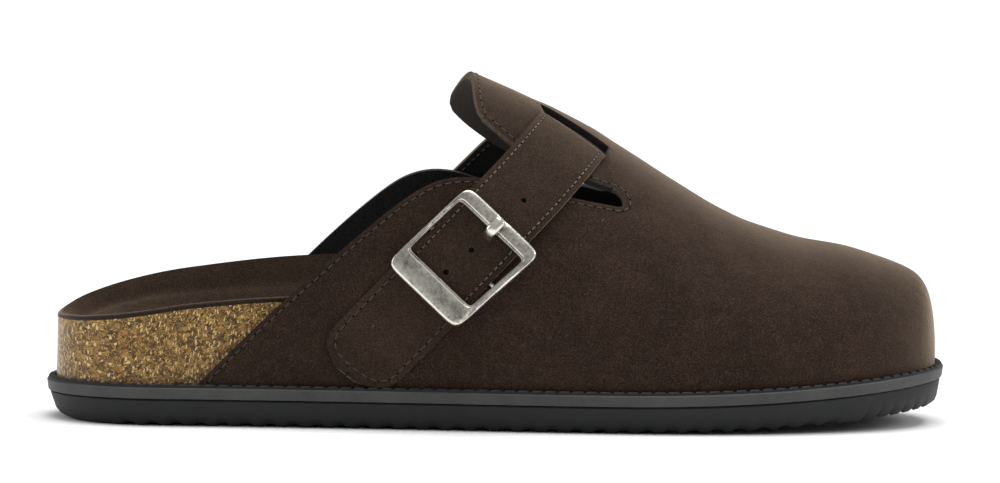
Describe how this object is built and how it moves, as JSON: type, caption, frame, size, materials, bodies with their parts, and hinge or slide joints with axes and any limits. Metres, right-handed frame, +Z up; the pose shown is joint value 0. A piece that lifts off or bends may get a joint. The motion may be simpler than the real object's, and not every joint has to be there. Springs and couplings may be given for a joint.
{
  "type": "cork footbed clog",
  "caption": "Slip-on clog for the right foot: moulded sole, cork footbed with suede cover, hollow suede upper, instep strap with square buckle.",
  "frame": {"origin": "on the floor under the middle of the sole's length and width", "axes": "+X to the toe, +Y to the inner side of the foot, +Z up"},
  "size_m": [0.285, 0.1058, 0.1103],
  "materials": {
    "outsole_rubber": "matt black moulded rubber foam",
    "midsole_foam": "grey satin foam welt",
    "cork": "granulated cork, lacquered edge",
    "insole_suede": "brown suede",
    "upper_suede": "dark brown suede, dark lining",
    "strap_suede": "dark brown suede, stitched edges",
    "nickel": "antique nickel plate"
  },
  "bodies": {
    "root": {"outsole": "outsole_rubber", "midsole": "midsole_foam", "footbed": "cork", "insole": "insole_suede", "upper": "upper_suede", "strap": "strap_suede", "buckle_tab": "strap_suede", "buckle_frame": "nickel", "buckle_prong": "nickel"}
  },
  "joints": []
}
